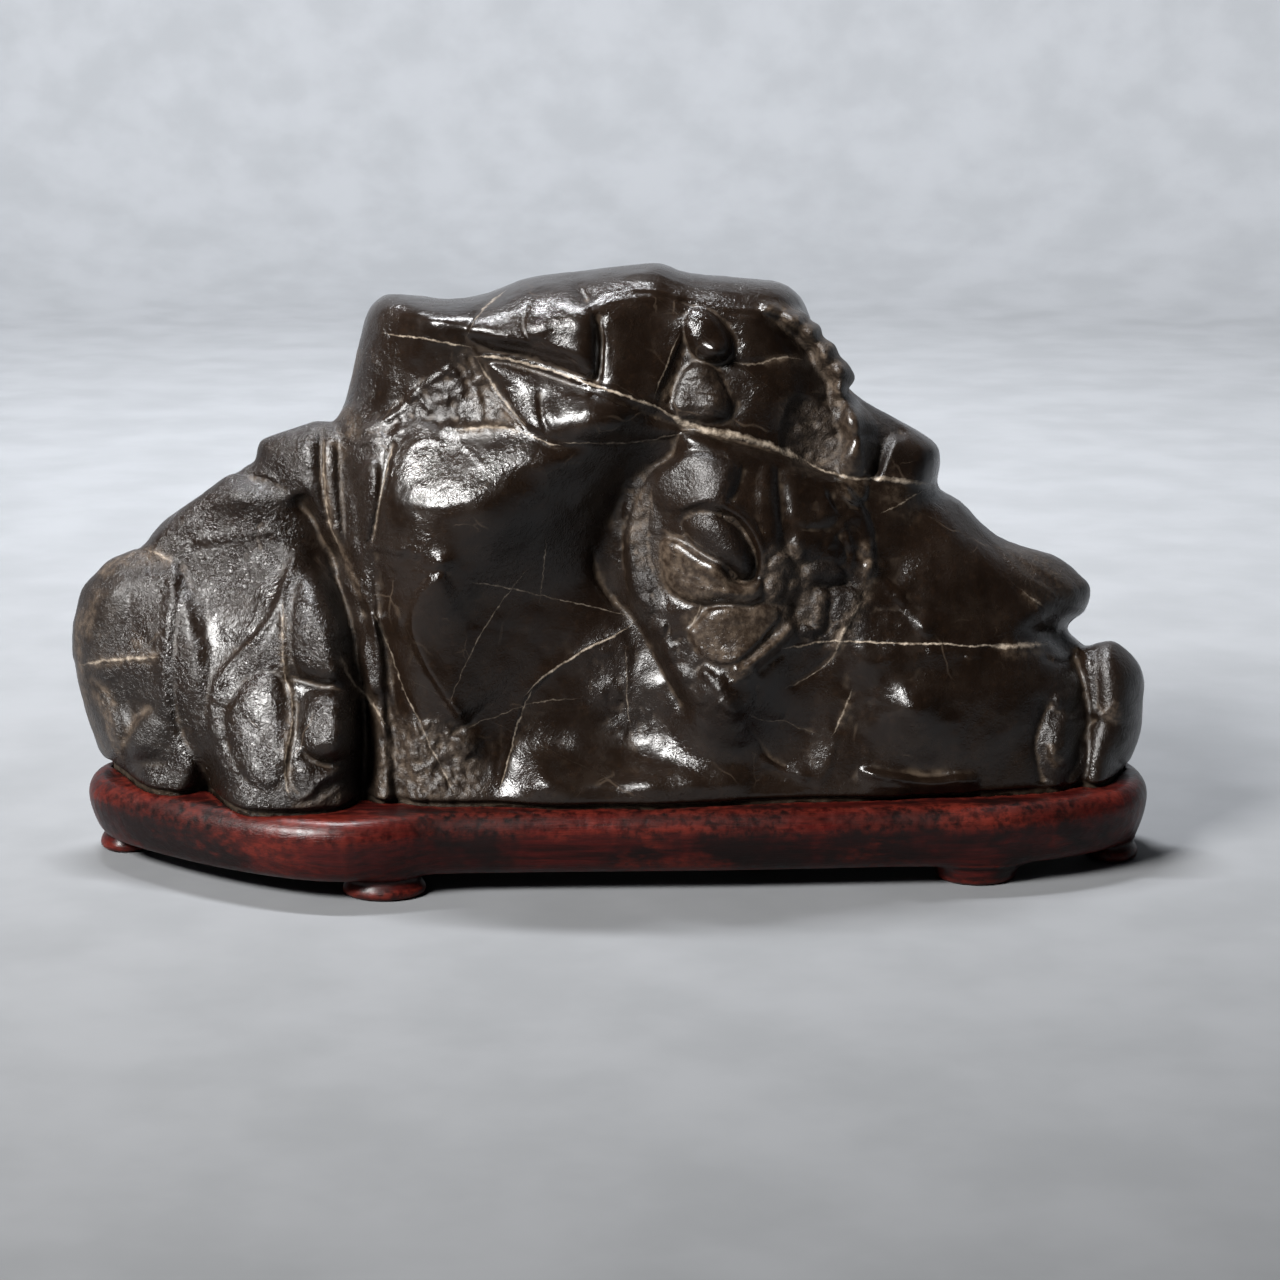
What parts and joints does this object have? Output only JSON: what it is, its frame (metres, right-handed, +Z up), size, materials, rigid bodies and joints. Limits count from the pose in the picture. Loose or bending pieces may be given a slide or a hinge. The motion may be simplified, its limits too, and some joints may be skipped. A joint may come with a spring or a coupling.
{
  "type": "scholars rock on stand",
  "caption": "Dark polished scholar's rock with pale mineral veins, shaped like a mountain ridge, seated in a low carved hardwood stand with short feet",
  "frame": {"origin": "bottom centre of the whole object's box, on the surface it stands on", "axes": "+X along the stand to the viewer's right, -Y towards the viewer on the display side, +Z up"},
  "size_m": [0.3187, 0.1094, 0.1746],
  "materials": {
    "stone": "water-worn and hand-polished near-black stone with cream veins and brown crevices",
    "stand_wood": "dark red-brown stained hardwood, mottled, satin polish"
  },
  "bodies": {
    "root": {"stone": "stone", "stand": "stand_wood"}
  },
  "joints": []
}
